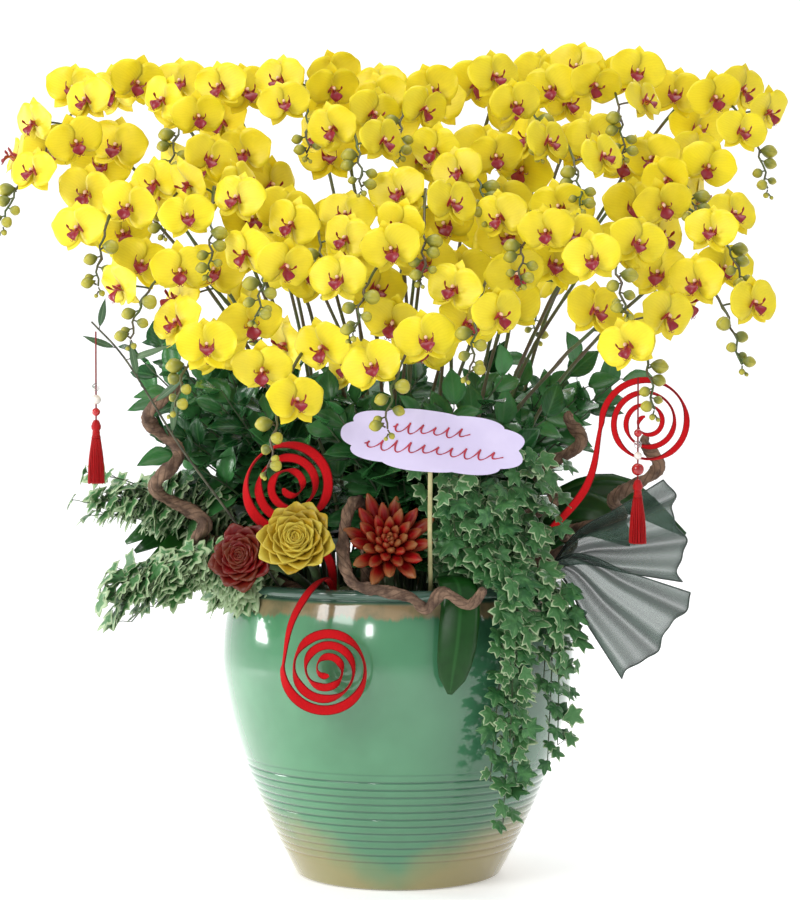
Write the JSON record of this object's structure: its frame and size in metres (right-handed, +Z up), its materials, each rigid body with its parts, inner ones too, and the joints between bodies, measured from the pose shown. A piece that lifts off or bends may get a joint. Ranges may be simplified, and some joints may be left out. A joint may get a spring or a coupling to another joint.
{
  "type": "potted orchid arrangement",
  "caption": "Glazed round pot planted with arching yellow moth orchids, trailing ivy, succulent rosettes, twisted vines, felt spirals, tassels and a blank card.",
  "frame": {"origin": "centre of the pot's flat underside", "axes": "+Z up along the pot's axis; the display faces -Y, where the card, rosettes and front spiral are"},
  "size_m": [1.0157, 0.7524, 1.0902],
  "materials": {
    "celadon_glaze": "glossy celadon glaze over stoneware, tan at the rim and foot",
    "potting_mix": "loose dark bark and coir mix",
    "yellow_petal": "waxy living petals, stems and buds",
    "orchid_leaf": "thick leathery living leaf",
    "shrub_leaf": "glossy living leaf",
    "ivy_leaf": "variegated living leaf",
    "red_rosette": "dark red rosette",
    "gold_rosette": "golden rosette",
    "bronze_rosette": "red and bronze rosette",
    "red_felt": "felted yarn over wire",
    "brown_vine": "dried twisted vine",
    "card_stock": "matt pale lilac board",
    "bamboo": "split bamboo",
    "red_silk": "silk thread and beads",
    "sheer_ribbon": "sheer organza",
    "twig_bark": "thin green-brown twig"
  },
  "bodies": {
    "root": {"card_stick": "bamboo", "felt_spiral_front": "red_felt", "felt_spiral_left": "red_felt", "felt_spiral_right": "red_felt", "greeting_card": "card_stock", "hanging_twig": "twig_bark", "ivy_spray_right_1": "ivy_leaf", "ivy_spray_right_2": "ivy_leaf", "ivy_trail_back": "ivy_leaf", "ivy_trail_left_1": "ivy_leaf", "ivy_trail_left_2": "ivy_leaf", "ivy_trail_right_1": "ivy_leaf", "ivy_trail_right_2": "ivy_leaf", "orchid_leaf_hanging": "orchid_leaf", "orchid_leaves_back": "orchid_leaf", "orchid_leaves_left": "orchid_leaf", "orchid_leaves_right": "orchid_leaf", "orchid_plant_01": "yellow_petal", "orchid_plant_02": "yellow_petal", "orchid_plant_03": "yellow_petal", "orchid_plant_04": "yellow_petal", "orchid_plant_05": "yellow_petal", "orchid_plant_06": "yellow_petal", "orchid_plant_07": "yellow_petal", "orchid_plant_08": "yellow_petal", "orchid_plant_09": "yellow_petal", "orchid_plant_10": "yellow_petal", "orchid_plant_11": "yellow_petal", "orchid_plant_12": "yellow_petal", "orchid_plant_13": "yellow_petal", "orchid_plant_14": "yellow_petal", "orchid_plant_15": "yellow_petal", "orchid_plant_16": "yellow_petal", "ornament_cord_left": "red_silk", "ornament_cord_right": "red_silk", "pot": "celadon_glaze", "potting_mix": "potting_mix", "ribbon_fan_high": "sheer_ribbon", "ribbon_fan_low": "sheer_ribbon", "shrub_back": "shrub_leaf", "shrub_centre": "shrub_leaf", "shrub_left": "shrub_leaf", "shrub_left_front": "shrub_leaf", "shrub_right": "shrub_leaf", "succulent_bronze": "bronze_rosette", "succulent_gold": "gold_rosette", "succulent_red": "red_rosette", "tassel_left": "red_silk", "tassel_right": "red_silk", "vine_front": "brown_vine", "vine_left": "brown_vine", "vine_right_inner": "brown_vine", "vine_right_outer": "brown_vine"}
  },
  "joints": []
}
